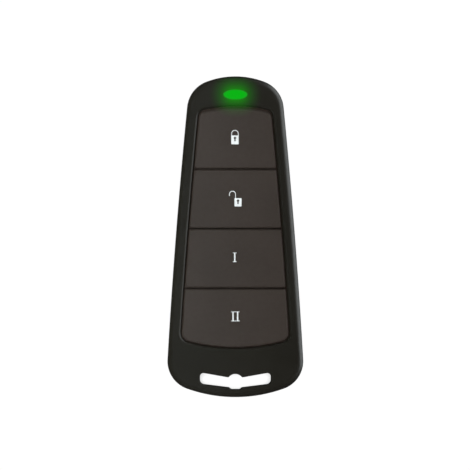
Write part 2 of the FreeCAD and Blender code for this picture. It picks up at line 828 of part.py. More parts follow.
def make_battery_clip():
    """Positive strap: passes under the cell and is soldered to the board at both sides."""
    y_low = cell_y - clip_width / 2
    y_high = cell_y + clip_width / 2
    inner = cell_radius + clip_side_gap
    outer = inner + clip_thickness
    strap = box(-outer, outer, y_low, y_high, clip_z, clip_z + clip_thickness)
    for side in (-1, 1):
        x_low, x_high = sorted((side * inner, side * outer))
        strap = strap.fuse(box(x_low, x_high, y_low, y_high, clip_z, board_z))
        x_low, x_high = sorted((side * outer, side * (outer + clip_foot)))
        strap = strap.fuse(box(x_low, x_high, y_low, y_high, board_z - clip_thickness, board_z))
    return strap.removeSplitter()


def make_negative_contact():
    """Round plate on the board's underside with dimples that press on the cell."""
    plate = rod(contact_radius, 0, cell_y, board_z - contact_plate, board_z)
    for index in range(contact_dimple_count):
        turn = 2 * math.pi * index / contact_dimple_count
        x = contact_dimple_circle * math.sin(turn)
        y = cell_y + contact_dimple_circle * math.cos(turn)
        plate = plate.fuse(rod(contact_dimple_radius, x, y, board_z - contact_height, board_z))
    return plate.removeSplitter()


def make_screw(x):
    """Self-tapping pan-head screw with a cross recess, driven up from the back."""
    seat = head_seat_z()
    head = rod(screw_head_radius, x, screw_y, screw_head_sink, seat)
    lower = [edge for edge in head.Edges if edge.BoundBox.ZMax < screw_head_sink + touch]
    head = head.makeFillet(screw_head_height / 2, lower)
    long_bar = (cross_length, cross_width, cross_depth)
    cross = centred_box(x, screw_y, long_bar, screw_head_sink)
    cross = cross.fuse(centred_box(x, screw_y, (cross_width, cross_length, cross_depth), screw_head_sink))
    shank = rod(screw_shank_radius, x, screw_y, seat - bite, seat + screw_length - screw_tip)
    tip = Part.makeCone(screw_shank_radius, screw_tip_radius, screw_tip,
                        vec(x, screw_y, seat + screw_length - screw_tip))
    return head.cut(cross).fuse(shank).fuse(tip).removeSplitter()


def make_antenna():
    """Copper loop round the lamp end of the board, open at its foot."""
    track = shrink(board_outline._replace(bottom_corner=antenna_corner), antenna_inset)
    top = board_top + antenna_thickness
    loop = prism(track, board_top, top).cut(prism(shrink(track, antenna_width), below_all, above_all))
    end_y = seam_one_y + clamp_length
    loop = loop.common(box(-lower_width, lower_width, end_y, top_y, 0, above_all))
    foot_x = half_width(end_y, track.inset + antenna_width / 2)
    foot = box(antenna_gap, foot_x, end_y, end_y + antenna_width, board_top, top)
    return loop.fuse(foot).removeSplitter()


def make_chip(x, y, size, pins):
    """Chip body with rows of flat leads on its two long sides."""
    body = centred_box(x, y, (size[0], size[1], size[2] - chip_stand), board_top + chip_stand)
    pitch = size[0] / pins
    half = pitch * chip_lead_share / 2
    for index in range(pins):
        pin_x = x + pitch * (index + 0.5 - pins / 2)
        for side in (-1, 1):
            y_body = y + side * size[1] / 2
            y_low, y_high = sorted((y_body - side * chip_lead / 2, y_body + side * chip_lead))
            body = body.fuse(box(pin_x - half, pin_x + half, y_low, y_high,
                                 board_top, board_top + chip_lead_thickness))
    return body.removeSplitter()


def make_chip_parts(x, y):
    """Row of small resistors and capacitors along the board."""
    parts = []
    for index in range(chip_part_count):
        parts.append(centred_box(x, y - index * chip_part_pitch, chip_part_size, board_top))
    return Part.makeCompound(parts)


def write(name, shape):
    shape.exportStep(os.path.join("parts", name + ".step"))


Key = namedtuple("Key", "switch cap legend y_high y_low mark mark_drop")

keys = [
    Key("lock", "lock_key", "lock_legend", window_top_y, seam_one_y, lock_mark, lock_mark_drop),
    Key("unlock", "unlock_key", "unlock_legend", seam_one_y, seam_two_y, unlock_mark, unlock_mark_drop),
    Key("one", "key_one", "numeral_one", seam_two_y, seam_three_y, one_mark, one_mark_drop),
    Key("two", "key_two", "numeral_two", seam_three_y, window_bottom_y, two_mark, two_mark_drop),
]


def main():
    os.makedirs("parts", exist_ok=True)
    slot = slot_tool()
    write("front_case", make_front_case(slot))
    write("back_case", make_back_case(slot))
    for key in keys:
        cap, legend = make_key(key.y_low, key.y_high, key.mark, key.y_high - key.mark_drop)
        write(key.cap, cap)
        write(key.legend, legend)
        housing, cover, plunger, dome = make_switch((key.y_low + key.y_high) / 2)
        write(key.switch + "_switch", housing)
        write(key.switch + "_switch_cover", cover)
        write(key.switch + "_plunger", plunger)
        write(key.switch + "_dome", dome)
    write("lamp_window", make_lamp_window())
    write("circuit_board", make_board())
    write("status_led", centred_box(0, lamp_y, led_size, board_top))
    write("loop_antenna", make_antenna())
    write("controller_chip", make_chip(-chip_x, chip_low_y, controller_size, controller_pins))
    write("radio_chip", make_chip(chip_x, chip_high_y, radio_size, radio_pins))
    write("crystal", centred_box(chip_x, chip_low_y, crystal_size, board_top))
    write("chip_parts", make_chip_parts(-chip_x, seam_two_y + chip_part_pitch * chip_part_count / 2))
    write("coin_cell", make_cell())
    write("battery_clip", make_battery_clip())
    write("negative_contact", make_negative_contact())
    write("case_screws", Part.makeCompound([make_screw(-screw_spread), make_screw(screw_spread)]))


main()
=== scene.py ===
import bpy
import json
import math
from collections import namedtuple
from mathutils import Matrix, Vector


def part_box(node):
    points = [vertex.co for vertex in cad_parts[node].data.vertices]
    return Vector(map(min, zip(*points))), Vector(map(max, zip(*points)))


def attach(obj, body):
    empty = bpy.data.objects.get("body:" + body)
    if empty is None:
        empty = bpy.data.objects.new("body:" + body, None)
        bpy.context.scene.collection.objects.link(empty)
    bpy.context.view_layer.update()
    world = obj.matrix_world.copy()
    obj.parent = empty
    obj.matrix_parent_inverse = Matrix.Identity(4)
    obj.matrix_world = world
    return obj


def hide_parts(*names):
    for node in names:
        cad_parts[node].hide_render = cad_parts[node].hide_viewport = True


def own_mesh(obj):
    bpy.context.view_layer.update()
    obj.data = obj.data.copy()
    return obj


# A four-button radio key fob on its back, seen from straight above, keys up and lamp end at the top.
# Metres, in the part's own frame: +Z is the key side, +Y the lamp end, +X the right side.

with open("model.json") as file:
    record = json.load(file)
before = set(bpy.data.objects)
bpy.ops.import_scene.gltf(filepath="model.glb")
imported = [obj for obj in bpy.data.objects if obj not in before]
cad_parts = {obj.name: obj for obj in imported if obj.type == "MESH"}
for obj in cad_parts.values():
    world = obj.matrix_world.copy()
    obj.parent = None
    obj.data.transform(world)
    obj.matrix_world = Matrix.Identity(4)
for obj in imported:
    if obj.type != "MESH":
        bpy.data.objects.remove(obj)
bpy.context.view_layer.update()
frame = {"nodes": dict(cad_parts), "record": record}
nodes = frame["nodes"]

MM = 0.001

# The photograph's frame and the camera over it
FRAME_WIDTH = 114.25 * MM
FRAME_SHIFT_X = -0.088 * MM
FRAME_SHIFT_Y = 0.425 * MM
OUTLINE_HEIGHT = 10.3 * MM
CAMERA_HEIGHT = 3.0
CAMERA_NEAR = 0.1
CAMERA_FAR = 100
SENSOR = 36.0

# The floor, how near the fob has to be to shade it, and its light where the fob meets it and in the open
FLOOR_SIZE = 40
CONTACT_REACH = 1.8 * MM
CONTACT_LIGHT = 0.35
OPEN_LIGHT = 1.02
OPEN_SHARE = 0.62

# The lamp's glow painted on the plastic round it, as green emission and a green tint in its colour: how fast
# it fades, where it ends, and half the line it shines from
GLOW_REACH = 1.75 * MM
GLOW_END = 4.6 * MM
GLOW_CORE = 0.7 * MM
GLOW_GREEN = (0.0, 0.194, 0.0)
PAINTED_GLOW_TINT = (0.0058, 0.0100, 0.0010)

# Below the lamp's top the painted glow is full down to the first depth and gone at the second
GLOW_FULL_DEPTH = 0.4 * MM
GLOW_LAST_DEPTH = 1.2 * MM

# Towards the keys the painted glow goes deeper, growing between these distances from the lamp's middle
KEY_SIDE_NEAR = 2.4 * MM
KEY_SIDE_FAR = 3.4 * MM
KEY_SIDE_DEEPER = 1.8 * MM

# Pads on the board
PAD_THICKNESS = 0.03 * MM
PAD_RIM = 0.08 * MM

# A level face's normal is at least this upright, the top and bottom faces lie this near the end of the piece,
# and the widest face has more than this share of the largest area
LEVEL = 0.99
SAME_HEIGHT = 0.001 * MM
NEARLY_WIDEST = 0.9

# Edges sharper than the first angle are rounded, and faces that meet at less than the second look smooth
SHARP = math.radians(35)
SMOOTH = math.radians(50)

# The range that a cloudy pattern mostly keeps to, and the depth of a pit in the grain
CLOUD_LOW = 0.3
CLOUD_HIGH = 0.7
PIT_DEPTH = 0.6

# How much finer a metal's marks are across their way than along it
ALONG_X = (1, 18, 1)
ALONG_Y = (18, 1, 1)
ROUND_Z = (1, 1, 12)

# Moulded pieces: darkest and lightest colour, roughness, and size of the grain
MOULDED = {
    "led": ((0.62, 0.74, 0.58), (0.78, 0.86, 0.72), 0.20, 0.10 * MM),
    "chip": ((0.012, 0.012, 0.013), (0.022, 0.022, 0.024), 0.48, 0.08 * MM),
    "chip_part": ((0.22, 0.15, 0.10), (0.36, 0.27, 0.19), 0.45, 0.06 * MM),
    "switch_plastic": ((0.020, 0.020, 0.020), (0.034, 0.034, 0.034), 0.50, 0.09 * MM),
    "plunger_plastic": ((0.60, 0.57, 0.50), (0.72, 0.69, 0.62), 0.40, 0.08 * MM),
}

# Metal pieces: tarnished and clean colour, roughness, width of the rolling marks, and the way they run
PLATED = {
    "copper": ((0.42, 0.20, 0.10), (0.78, 0.42, 0.24), 0.30, 0.20 * MM, ALONG_X),
    "crystal_can": ((0.40, 0.40, 0.39), (0.66, 0.66, 0.64), 0.28, 0.10 * MM, ALONG_X),
    "cell_steel": ((0.48, 0.48, 0.47), (0.70, 0.70, 0.69), 0.22, 0.15 * MM, ALONG_Y),
    "contact_metal": ((0.50, 0.48, 0.42), (0.74, 0.72, 0.67), 0.26, 0.12 * MM, ALONG_X),
    "screw_steel": ((0.14, 0.14, 0.15), (0.30, 0.30, 0.31), 0.34, 0.12 * MM, ROUND_Z),
    "switch_steel": ((0.42, 0.42, 0.41), (0.64, 0.64, 0.63), 0.30, 0.10 * MM, ALONG_Y),
    "dome_steel": ((0.50, 0.49, 0.46), (0.72, 0.71, 0.68), 0.24, 0.08 * MM, ALONG_X),
}

Lamp = namedtuple("Lamp", "centre half_length half_width")


# Ways to mix a finish

class Finish:
    """A new material with one main shader, and short ways to add and join its pattern nodes."""

    def __init__(self, name):
        self.material = bpy.data.materials.new(name)
        self.material.use_nodes = True
        self.tree = self.material.node_tree
        self.shader = self.tree.nodes["Principled BSDF"]
        self.place = self.tree.nodes.new("ShaderNodeTexCoord").outputs["Object"]

    def fill(self, socket, value):
        """Joins a socket to another node's output, or sets it to a plain value."""
        if isinstance(value, bpy.types.NodeSocket):
            self.tree.links.new(value, socket)
        elif socket.type == "RGBA":
            socket.default_value = (*value, 1.0)
        else:
            socket.default_value = value

    def wire(self, node, **inputs):
        """Fills a node's inputs by name, with spaces written as underscores."""
        for name, value in inputs.items():
            self.fill(node.inputs[name.replace("_", " ")], value)

    def set(self, **values):
        """Fills the main shader's own inputs."""
        self.wire(self.shader, **values)

    def noise(self, size, detail=2.0, stretch=(1, 1, 1)):
        """Cloudy pattern with features of about this size in metres, finer along a stretched axis."""
        mapping = self.tree.nodes.new("ShaderNodeMapping")
        self.wire(mapping, Vector=self.place, Scale=stretch)
        node = self.tree.nodes.new("ShaderNodeTexNoise")
        self.wire(node, Vector=mapping.outputs["Vector"], Scale=1.0 / size, Detail=detail)
        return node.outputs["Fac"]

    def pits(self, size):
        """Cell pattern of about this size in metres, as spark-eroded mould grain leaves."""
        node = self.tree.nodes.new("ShaderNodeTexVoronoi")
        node.feature = "SMOOTH_F1"
        self.wire(node, Vector=self.place, Scale=1.0 / size, Smoothness=0.6)
        return node.outputs["Distance"]

    def tracks(self, way, pitch):
        """1 on thin parallel lines, pitch metres apart along one axis, and 0 between them."""
        node = self.tree.nodes.new("ShaderNodeTexWave")
        node.wave_type = "BANDS"
        node.bands_direction = way
        self.wire(node, Vector=self.place, Scale=math.pi / (10 * pitch), Distortion=0.0)
        line_side = 0.75
        line_top = 0.85
        return self.spread(node.outputs["Fac"], line_side, line_top, 0.0, 1.0)

    def spread(self, value, low, high, out_low, out_high, smooth=True):
        """Turns a value's range from low to high into out_low to out_high."""
        node = self.tree.nodes.new("ShaderNodeMapRange")
        node.interpolation_type = "SMOOTHSTEP" if smooth else "LINEAR"
        self.wire(node, Value=value, From_Min=low, From_Max=high, To_Min=out_low, To_Max=out_high)
        return node.outputs["Result"]

    def clouded(self, value, out_low, out_high):
        """Turns the range of a cloudy pattern into out_low to out_high."""
        return self.spread(value, CLOUD_LOW, CLOUD_HIGH, out_low, out_high)

    def pitted(self, value, out_low, out_high):
        """Turns the range of a pit pattern into out_low to out_high."""
        return self.spread(value, 0.0, PIT_DEPTH, out_low, out_high)

    def calc(self, operation, first, second=0):
        """One step of arithmetic on one or two values."""
        node = self.tree.nodes.new("ShaderNodeMath")
        node.operation = operation
        self.fill(node.inputs[0], first)
        self.fill(node.inputs[1], second)
        return node.outputs["Value"]

    def blend(self, share, first, second):
        """A colour that goes from the first to the second as the share goes from 0 to 1."""
        node = self.tree.nodes.new("ShaderNodeMix")
        node.data_type = "RGBA"
        self.fill(node.inputs[0], share)
        self.fill(node.inputs[6], first)
        self.fill(node.inputs[7], second)
        return node.outputs[2]

    def mottled(self, first, second, size, detail=3.0, low=CLOUD_LOW, high=CLOUD_HIGH):
        """A colour that wanders between two in clouds of about this size."""
        return self.blend(self.spread(self.noise(size, detail), low, high, 0.0, 1.0), first, second)

    def bump(self, height, strength, depth, under=None):
        """Raises the surface by a pattern, depth metres at full height, over an earlier bump if given."""
        node = self.tree.nodes.new("ShaderNodeBump")
        self.wire(node, Height=height, Strength=strength, Distance=depth)
        if under is not None:
            self.wire(node, Normal=under)
        return node.outputs["Normal"]

    def edge(self, reach):
        """1 on sharp outer edges, falling to 0 on flats: how far a rounded normal leans from the true one."""
        soft = self.tree.nodes.new("ShaderNodeBevel")
        soft.samples = 4
        self.wire(soft, Radius=reach)
        true = self.tree.nodes.new("ShaderNodeNewGeometry")
        lean = self.tree.nodes.new("ShaderNodeVectorMath")
        lean.operation = "DOT_PRODUCT"
        self.fill(lean.inputs[0], soft.outputs["Normal"])
        self.fill(lean.inputs[1], true.outputs["Normal"])
        sharp = 0.75
        flat = 0.995
        return self.spread(lean.outputs["Value"], sharp, flat, 1.0, 0.0)

    def rimmed(self, base, rim, edge, share):
        """A base colour that turns towards another on its sharp edges, by this share."""
        return self.blend(self.calc("MULTIPLY", edge, share), base, rim)

    def place_from(self, centre):
        """How far the surface is from a centre along x and y, and its own height."""
        split = self.tree.nodes.new("ShaderNodeSeparateXYZ")
        self.wire(split, Vector=self.place)
        x = self.calc("SUBTRACT", split.outputs["X"], centre.x)
        y = self.calc("SUBTRACT", split.outputs["Y"], centre.y)
        return x, y, split.outputs["Z"]

    def length(self, x, y):
        """Straight distance covered by x across and y along."""
        across = self.calc("POWER", self.calc("ABSOLUTE", x), 2)
        along = self.calc("POWER", self.calc("ABSOLUTE", y), 2)
        return self.calc("SQRT", self.calc("ADD", across, along))


# Finishes

def painted_glow_share(finish, lamp):
    """Share of lamp light painted on the surface: 1 at the lamp's edge, fading with the distance from it."""
    x, y, height = finish.place_from(lamp.centre)
    beyond = finish.calc("SUBTRACT", finish.calc("ABSOLUTE", x), GLOW_CORE)
    beyond = finish.calc("MAXIMUM", beyond, 0)
    away = finish.calc("SUBTRACT", finish.length(beyond, y), lamp.half_width)
    away = finish.calc("MAXIMUM", away, 0)
    fade = finish.calc("EXPONENT", finish.calc("DIVIDE", away, -GLOW_REACH))
    spent = finish.calc("POWER", finish.calc("DIVIDE", away, GLOW_END), 2)
    left = finish.calc("MAXIMUM", finish.calc("SUBTRACT", 1, spent), 0)
    deeper = finish.spread(y, -KEY_SIDE_FAR, -KEY_SIDE_NEAR, KEY_SIDE_DEEPER, 0.0)
    lit = finish.spread(finish.calc("ADD", height, deeper),
                        lamp.centre.z - GLOW_LAST_DEPTH, lamp.centre.z - GLOW_FULL_DEPTH, 0.0, 1.0)
    return finish.calc("MULTIPLY", finish.calc("MULTIPLY", fade, left), lit)


def paint_lamp_glow(finish, base, lamp):
    """Paints the lamp's green over a base colour, as a painted glow of lamp light on the plastic round it: a
    green tint in the colour and green emission.
    """
    glow = painted_glow_share(finish, lamp)
    unlit = (0.0, 0.0, 0.0)
    finish.set(Base_Color=finish.blend(glow, base, PAINTED_GLOW_TINT),
               Emission_Color=finish.blend(glow, unlit, GLOW_GREEN), Emission_Strength=1.0)


def case_finish(lamp):
    """Near-black satin moulding with a fine spark-eroded grain, a little polished along its edges."""
    finish = Finish("case_plastic")
    dark = (0.0113, 0.0097, 0.0068)
    light = (0.0128, 0.0111, 0.0079)
    polished = (0.022, 0.022, 0.020)
    edge = finish.edge(0.25 * MM)
    base = finish.mottled(dark, light, size=9 * MM, low=0.35, high=0.65)
    # The lamp's light on the case round its window is painted on here, as green emission and tint
    paint_lamp_glow(finish, finish.rimmed(base, polished, edge, share=0.35), lamp)
    grain = finish.pits(0.16 * MM)
    smudge = finish.clouded(finish.noise(3.5 * MM, detail=4.0), 0.34, 0.40)
    rough = finish.calc("ADD", smudge, finish.pitted(grain, -0.02, 0.04))
    edge_shine = finish.calc("MULTIPLY", edge, 0.08)
    rough = finish.calc("SUBTRACT", rough, edge_shine)
    ripple = finish.bump(finish.noise(6 * MM, detail=1.0), strength=0.15, depth=0.02 * MM)
    grained = finish.bump(grain, strength=0.22, depth=0.012 * MM, under=ripple)
    finish.set(Roughness=rough, Normal=grained, IOR=1.5)
    return finish.material


def key_finish(lamp):
    """Warm dark grey rubber-like plastic, matt, with a finer grain than the case."""
    finish = Finish("key_plastic")
    dark = (0.0345, 0.0250, 0.0198)
    light = (0.0380, 0.0274, 0.0218)
    rubbed = (0.044, 0.037, 0.032)
    edge = finish.edge(0.2 * MM)
    base = finish.mottled(dark, light, size=12 * MM, low=0.35, high=0.65)
    # The lamp's light on the keys nearest it is painted on here, as green emission and tint
    paint_lamp_glow(finish, finish.rimmed(base, rubbed, edge, share=0.25), lamp)
    grain = finish.pits(0.11 * MM)
    dust = finish.clouded(finish.noise(0.9 * MM, detail=5.0), 0.60, 0.68)
    rough = finish.calc("ADD", dust, finish.pitted(grain, -0.03, 0.04))
    grained = finish.bump(grain, strength=0.25, depth=0.008 * MM)
    finish.set(Roughness=rough, Normal=grained, IOR=1.45)
    return finish.material


def mark_finish():
    """White mark, moulded into the key, a touch uneven and greyed at its rim."""
    finish = Finish("legend_white")
    dull = (0.745, 0.745, 0.735)
    white = (0.80, 0.80, 0.79)
    grey = (0.30, 0.30, 0.30)
    edge = finish.edge(0.25 * MM)
    cloud = finish.noise(0.6 * MM, detail=3.0)
    base = finish.blend(finish.clouded(cloud, 0.0, 1.0), dull, white)
    base = finish.rimmed(base, grey, edge, share=0.8)
    grained = finish.bump(finish.pits(0.10 * MM), strength=0.2, depth=0.006 * MM)
    finish.set(Base_Color=base, Roughness=finish.clouded(cloud, 0.42, 0.52), Normal=grained)
    return finish.material


def lens_finish(lamp):
    """Light pipe lit from below: even green, with a faint moulding swirl; its paler ends are a painted sheen
    of white light on its domed ends.
    """
    finish = Finish("lamp_lens")
    unlit = (0.001, 0.020, 0.002)
    middle = (0.0010, 0.43, 0.0040)
    # Paler green at the ends: a painted sheen standing in for white light reflected on the lens's domed ends
    end = (0.009, 0.35, 0.012)
    streak = (0.0, 0.36, 0.004)
    x, y = finish.place_from(lamp.centre)[:2]
    across = finish.calc("DIVIDE", x, lamp.half_length)
    along = finish.calc("DIVIDE", y, lamp.half_width)
    out = finish.length(across, along)
    # The share of that painted sheen grows towards the ends
    painted_sheen_start = 0.72
    rim = finish.spread(out, painted_sheen_start, 1.0, 0.0, 1.0)
    swirl = finish.clouded(finish.noise(0.8 * MM), 0.0, 0.12)
    light = finish.blend(swirl, finish.blend(rim, middle, end), streak)
    finish.set(Base_Color=unlit, Emission_Color=light, Emission_Strength=1.0,
               Roughness=finish.spread(out, 0.5, 1.0, 0.16, 0.26),
               Normal=finish.bump(finish.noise(1.2 * MM), strength=0.1, depth=0.01 * MM),
               IOR=1.49, Specular_IOR_Level=0.25)
    return finish.material


def board_finish():
    """Green solder mask over faint copper tracks, which turn and stop from patch to patch."""
    finish = Finish("board")
    deep = (0.010, 0.085, 0.030)
    clear = (0.012, 0.100, 0.035)
    over_copper = (0.020, 0.150, 0.052)
    pitch = 0.8 * MM
    half = 0.50
    turned = finish.spread(finish.noise(7 * MM, detail=0.0), half, half + 0.005, 0.0, 1.0, smooth=False)
    straight = finish.calc("SUBTRACT", 1, turned)
    tracked = finish.spread(finish.noise(4 * MM, detail=0.0), half, half + 0.01, 1.0, 0.0, smooth=False)
    line = finish.calc("ADD", finish.calc("MULTIPLY", finish.tracks("X", pitch), turned),
                       finish.calc("MULTIPLY", finish.tracks("Y", pitch), straight))
    line = finish.calc("MULTIPLY", line, tracked)
    mask = finish.mottled(deep, clear, size=3 * MM)
    finish.set(Base_Color=finish.blend(line, mask, over_copper),
               Roughness=finish.clouded(finish.noise(0.7 * MM, detail=3.0), 0.26, 0.36),
               Normal=finish.bump(line, strength=0.4, depth=0.03 * MM))
    return finish.material


def moulded(name, dark, light, roughness, grain):
    """Plain moulded plastic or ceramic with mottled colour and a grained surface."""
    finish = Finish(name)
    cloud_size = 9 * grain
    patch_size = 4 * grain
    depth = grain / 12
    patches = finish.noise(patch_size, detail=3.0)
    finish.set(Base_Color=finish.mottled(dark, light, cloud_size),
               Roughness=finish.clouded(patches, roughness - 0.05, roughness + 0.06),
               Normal=finish.bump(finish.pits(grain), strength=0.3, depth=depth))
    return finish.material


def plated(name, dark, light, roughness, brush, way):
    """Plated or bare metal with fine rolling marks along one way and a little tarnish."""
    finish = Finish(name)
    tarnish_size = 12 * brush
    depth = brush / 15
    marks = finish.noise(brush, detail=4.0, stretch=way)
    finish.set(Base_Color=finish.mottled(light, dark, tarnish_size, detail=4.0, low=0.35, high=0.75),
               Roughness=finish.clouded(marks, roughness - 0.06, roughness + 0.08),
               Normal=finish.bump(marks, strength=0.12, depth=depth), Metallic=1.0)
    return finish.material


def mix_finishes():
    """Every finish of the fob, by the name of the material slot that takes it."""
    low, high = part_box("lamp_window")
    flange = 0.5 * MM
    centre = Vector(((low.x + high.x) / 2, (low.y + high.y) / 2, high.z))
    lamp = Lamp(centre, (high.x - low.x) / 2 - flange, (high.y - low.y) / 2 - flange)
    mixed = {
        "case_plastic": case_finish(lamp),
        "key_plastic": key_finish(lamp),
        "legend_white": mark_finish(),
        "lamp_lens": lens_finish(lamp),
        "board": board_finish(),
    }
    for name, look in MOULDED.items():
        mixed[name] = moulded(name, *look)
    for name, look in PLATED.items():
        mixed[name] = plated(name, *look)
    return mixed


def finish_the_nodes():
    """Gives the material slots of each piece their finish."""
    for subpart in frame["record"]["subparts"]:
        for slot in nodes[subpart["node"]].material_slots:
            slot.material = finishes[subpart["material_slot"]]


# Ways to model the small pieces on the board

def choose_nothing():
    """Deselects every piece."""
    bpy.ops.object.select_all(action="DESELECT")


def choose(*pieces):
    """Selects these pieces alone, and makes the first one active."""
    choose_nothing()
    for piece in pieces:
        piece.select_set(True)
    bpy.context.view_layer.objects.active = pieces[0]


def fix_in_place():
    """Puts the active piece's place, turn and size into its mesh, so the piece sits at the origin."""
    bpy.ops.object.transform_apply(location=True, rotation=True, scale=True)


def block(name, low, high):
    """A box between two corners, the start of a piece."""
    low = Vector(low)
    high = Vector(high)
    choose_nothing()
    bpy.ops.mesh.primitive_cube_add(size=1, location=(low + high) / 2, scale=high - low)
    piece = bpy.context.object
    piece.name = name
    fix_in_place()
    return piece


def top_face(piece):
    """A test for the highest level faces of a piece as it is now."""
    high = max(corner.co.z for corner in piece.data.vertices)
    return lambda face: face.normal.z > LEVEL and face.center.z > high - SAME_HEIGHT


def bottom_face(piece):
    """A test for the lowest level faces of a piece as it is now."""
    low = min(corner.co.z for corner in piece.data.vertices)
    return lambda face: face.normal.z < -LEVEL and face.center.z < low + SAME_HEIGHT


def widest_top_face(piece):
    """A test for the widest level face on top, inside the ring that an inset left."""
    widest = max(face.area for face in piece.data.polygons if face.normal.z > LEVEL)
    return lambda face: face.normal.z > LEVEL and face.area > widest * NEARLY_WIDEST


def pick_faces(piece, accept):
    """Opens a piece for editing with only those faces selected that the test accepts."""
    choose(piece)
    bpy.ops.object.mode_set(mode="EDIT")
    bpy.ops.mesh.select_mode(type="FACE")
    bpy.ops.mesh.select_all(action="DESELECT")
    bpy.ops.object.mode_set(mode="OBJECT")
    for face in piece.data.polygons:
        face.select = accept(face)
    bpy.ops.object.mode_set(mode="EDIT")


def draw_in(piece, accept, thickness, depth):
    """Insets the faces that the test accepts and moves them out by depth, so the sides between lean in."""
    pick_faces(piece, accept)
    bpy.ops.mesh.inset(thickness=thickness, depth=depth)
    bpy.ops.object.mode_set(mode="OBJECT")


def turn_faces_out():
    """Points all faces of the active piece outwards."""
    bpy.ops.object.mode_set(mode="EDIT")
    bpy.ops.mesh.select_all(action="SELECT")
    bpy.ops.mesh.normals_make_consistent(inside=False)
    bpy.ops.object.mode_set(mode="OBJECT")


def apply_last(piece):
    """Makes the piece's last modifier part of its mesh."""
    choose(piece)
    bpy.ops.object.modifier_apply(modifier=piece.modifiers[-1].name)


def soften(piece, width, segments=2):
    """Rounds the sharp edges of a piece."""
    bevel = piece.modifiers.new("soft_edges", "BEVEL")
    bevel.width = width
    bevel.segments = segments
    bevel.limit_method = "ANGLE"
    bevel.angle_limit = SHARP
    apply_last(piece)
    bpy.ops.object.shade_smooth_by_angle(angle=SMOOTH)


def bent_strip(name, points, width, thickness):
    """Flat metal strip bent through points: a ribbon, level at its start, then given its thickness."""
    span = points[1] - points[0]
    end_share = 0.1
    choose_nothing()
    bpy.ops.mesh.primitive_plane_add(size=1, location=(points[0] + points[1]) / 2)
    strip = bpy.context.object
    strip.name = name
    strip.scale = (abs(span.x) or width, abs(span.y) or width, 1)
    fix_in_place()
    for corner in strip.data.vertices:
        corner.select = (corner.co - points[1]).dot(span) > -end_share * span.length_squared
    for edge in strip.data.edges:
        edge.select = all(strip.data.vertices[index].select for index in edge.vertices)
    for face in strip.data.polygons:
        face.select = False
    bpy.ops.object.mode_set(mode="EDIT")
    bpy.ops.mesh.select_mode(type="EDGE")
    for start, end in zip(points[1:], points[2:]):
        bpy.ops.mesh.extrude_region_move(TRANSFORM_OT_translate={"value": end - start})
    turn_faces_out()
    wall = strip.modifiers.new("thickness", "SOLIDIFY")
    wall.thickness = thickness
    wall.offset = 0
    wall.use_even_offset = True
    apply_last(strip)
    turn_faces_out()
    return strip


def copy_of(piece, name, shift):
    """A copy with its own mesh, moved by shift."""
    choose(piece)
    bpy.ops.object.duplicate(linked=False)
    twin = bpy.context.object
    twin.name = name
    twin.location = shift
    fix_in_place()
    return twin


def joined(name, pieces):
    """One piece made of several."""
    choose(*pieces)
    bpy.ops.object.join()
    pieces[0].name = name
    return pieces[0]


def settle(piece, slot, stands_for=None):
    """Finishes a piece and fixes it to the case, in place of a plain node if one is named."""
    piece.data.materials.clear()
    piece.data.materials.append(finishes[slot])
    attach(piece, "case")
    if stands_for:
        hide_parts(stands_for)


# Pieces on the board

pads = []


def add_pad(x_low, x_high, y_low, y_high, board_top):
    """Tinned pad on the board, a little larger than what is soldered to it."""
    low = (x_low - PAD_RIM, y_low - PAD_RIM, board_top)
    high = (x_high + PAD_RIM, y_high + PAD_RIM, board_top + PAD_THICKNESS)
    pads.append(block("pad", low, high))


def build_pads():
    """Rounds all the pads and makes them one piece."""
    for pad in pads:
        soften(pad, 0.01 * MM, 1)
    settle(joined("board_pads", pads), "contact_metal")


def chip_body(name, low, high, y_low, y_high, middle):
    """Moulded body that leans in above and below its belt, with a dimple beside its first lead."""
    end_gap = 0.05 * MM
    half_belt = 0.10 * MM
    top_lean = 0.10 * MM
    bottom_lean = 0.08 * MM
    under_gap = 0.1 * MM
    dimple_inset = 0.62 * MM
    dimple_radius = 0.28 * MM
    dimple_height = 0.12 * MM
    body = block(name + "_body", (low.x + end_gap, y_low, middle - half_belt),
                 (high.x - end_gap, y_high, middle + half_belt))
    draw_in(body, top_face(body), top_lean, high.z - middle - half_belt)
    draw_in(body, bottom_face(body), bottom_lean, middle - half_belt - low.z - under_gap)
    soften(body, 0.04 * MM)
    choose_nothing()
    dimple_place = (low.x + dimple_inset, y_low + dimple_inset, high.z)
    bpy.ops.mesh.primitive_cylinder_add(vertices=32, radius=dimple_radius, depth=dimple_height,
                                        location=dimple_place)
    dimple = bpy.context.object
    cut = body.modifiers.new("dimple", "BOOLEAN")
    cut.object = dimple
    cut.operation = "DIFFERENCE"
    apply_last(body)
    bpy.data.objects.remove(dimple)
    return body


def chip_lead(name, side, x, y_body, y_end, middle, foot, width, thick):
    """Lead that leaves the body level, bends down and ends in a level foot."""
    buried = 0.2 * MM
    shoulder = 0.22 * MM
    foot_length = 0.42 * MM
    first_step = 0.07 * MM
    first_drop = 0.08
    second_step = 0.12 * MM
    second_drop = 0.25
    out = Vector((0, side, 0))
    drop = Vector((0, 0, foot - middle))
    start = Vector((x, y_body - side * buried, middle))
    knee = Vector((x, y_body + side * shoulder, middle))
    heel = Vector((x, y_end - side * foot_length, foot))
    end = Vector((x, y_end, foot))
    bend_start = out * first_step + drop * first_drop
    bend_end = out * second_step + drop * second_drop
    points = [start, knee, knee + bend_start, knee + bend_end, heel - bend_end, heel - bend_start, heel, end]
    lead = bent_strip(name, points, width, thick)
    soften(lead, 0.02 * MM)
    return lead


